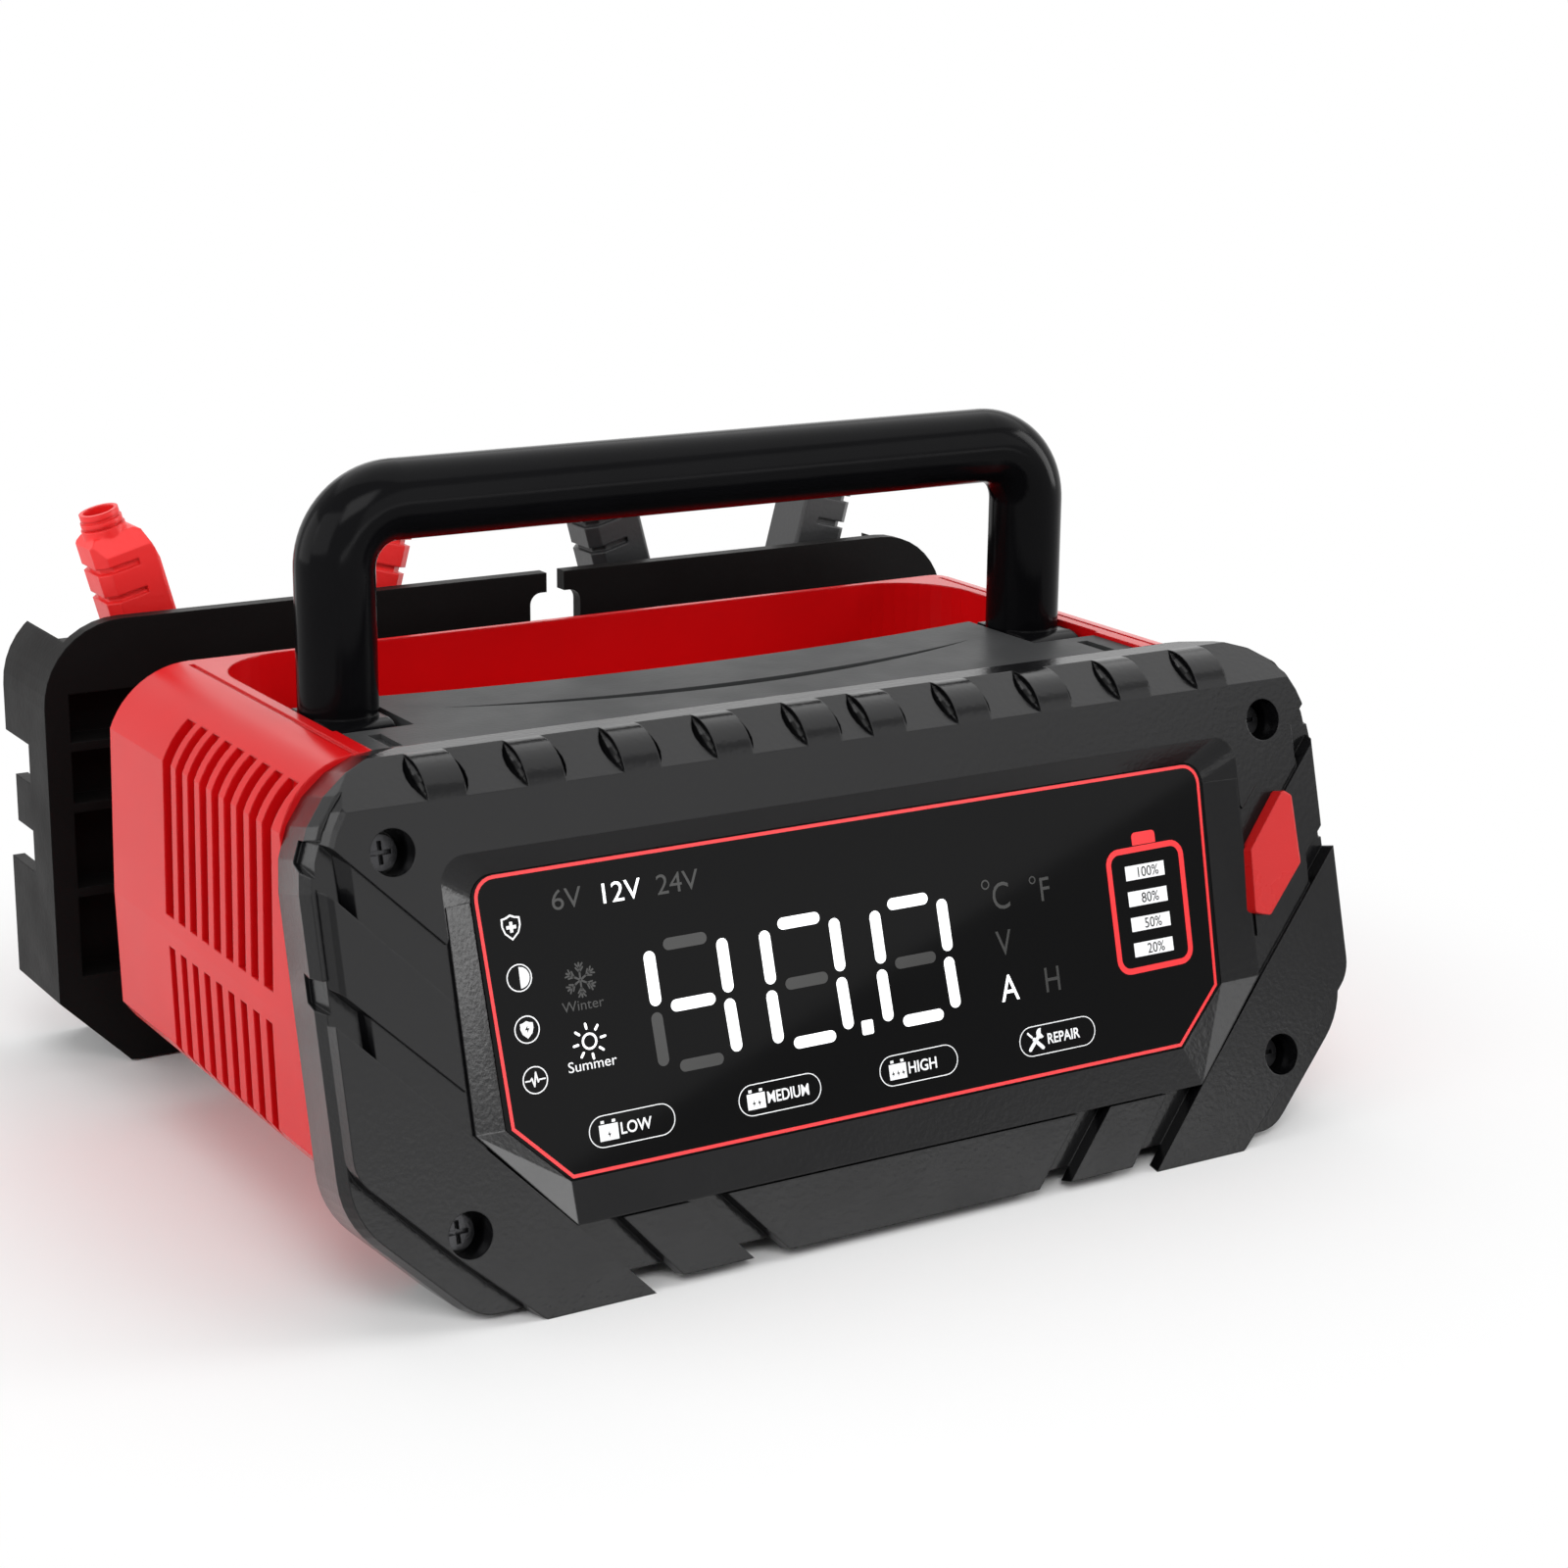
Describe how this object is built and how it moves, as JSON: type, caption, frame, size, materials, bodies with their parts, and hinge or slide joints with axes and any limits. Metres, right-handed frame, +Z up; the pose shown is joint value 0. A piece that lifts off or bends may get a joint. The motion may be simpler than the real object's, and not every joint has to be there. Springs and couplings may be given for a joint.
{
  "type": "car battery charger",
  "caption": "Car battery charger with a tilted ribbed front bezel and wide display window, vented red body, folding carry handle, rear cable flange and two stowed spring clamps.",
  "frame": {"origin": "middle of the charger's overall box, on the ground", "axes": "+Z up, -Y to the front where the display faces, +X to the right seen from the front"},
  "size_m": [0.255, 0.213, 0.1596],
  "materials": {
    "black_plastic": "satin black moulded plastic",
    "deck_grey": "satin dark grey moulded plastic",
    "red_plastic": "glossy moulded plastic",
    "handle_black": "glossy black moulded plastic",
    "window": "smoked clear window",
    "board_green": "printed board",
    "steel": "plated steel",
    "copper": "copper plated",
    "aluminium": "extruded",
    "core_steel": "varnished laminations",
    "sleeve_blue": "sleeved cans",
    "foot_rubber": "matt rubber",
    "clamp_red": "satin moulded plastic",
    "clamp_black": "satin moulded plastic"
  },
  "bodies": {
    "base": {"front_bezel": "black_plastic", "bezel_back": "black_plastic", "display_glass": "window", "display_board": "board_green", "side_accent": "red_plastic", "front_screws": "steel", "housing": "red_plastic", "deck_plate": "deck_grey", "handle_pins": "steel", "cable_drum": "black_plastic", "rear_flange": "black_plastic", "clamp_rests": "black_plastic", "rear_feet": "foot_rubber", "rear_screws": "steel", "lead_glands": "black_plastic", "main_board": "board_green", "transformer": "core_steel", "heat_sink": "aluminium", "capacitors": "sleeve_blue", "fan_frame": "black_plastic"},
    "handle": {"handle": "handle_black"},
    "fan": {"fan_rotor": "black_plastic"},
    "red_clamp": {"red_arm_a": "clamp_red", "red_jaw_a": "copper", "red_pin": "steel", "red_spring": "steel"},
    "red_clamp_arm": {"red_arm_b": "clamp_red", "red_jaw_b": "copper"},
    "black_clamp": {"black_arm_a": "clamp_black", "black_jaw_a": "copper", "black_pin": "steel", "black_spring": "steel"},
    "black_clamp_arm": {"black_arm_b": "clamp_black", "black_jaw_b": "copper"}
  },
  "joints": [
    {"name": "handle_fold", "type": "hinge", "parent": "base", "child": "handle", "pos_m": [0, -0.021, 0.0965], "axis": [-1, 0, 0], "range_deg": [0, 90]},
    {"name": "fan_spin", "type": "hinge", "parent": "base", "child": "fan", "pos_m": [-0.1116, -0.01799, 0.055], "axis": [1, 0, 0], "continuous": true},
    {"name": "red_lift", "type": "slide", "parent": "base", "child": "red_clamp", "axis": [0, 1, 0], "range_m": [0, 0.06]},
    {"name": "red_open", "type": "hinge", "parent": "red_clamp", "child": "red_clamp_arm", "pos_m": [-0.066, 0.0975, 0.0505], "axis": [0, -1, 0], "range_deg": [0, 22], "stiffness_Nm_per_rad": 0.8, "springref_deg": -28.65},
    {"name": "black_lift", "type": "slide", "parent": "base", "child": "black_clamp", "axis": [0, 1, 0], "range_m": [0, 0.06]},
    {"name": "black_open", "type": "hinge", "parent": "black_clamp", "child": "black_clamp_arm", "pos_m": [0.066, 0.0975, 0.0505], "axis": [0, -1, 0], "range_deg": [0, 22], "stiffness_Nm_per_rad": 0.8, "springref_deg": -28.65}
  ]
}
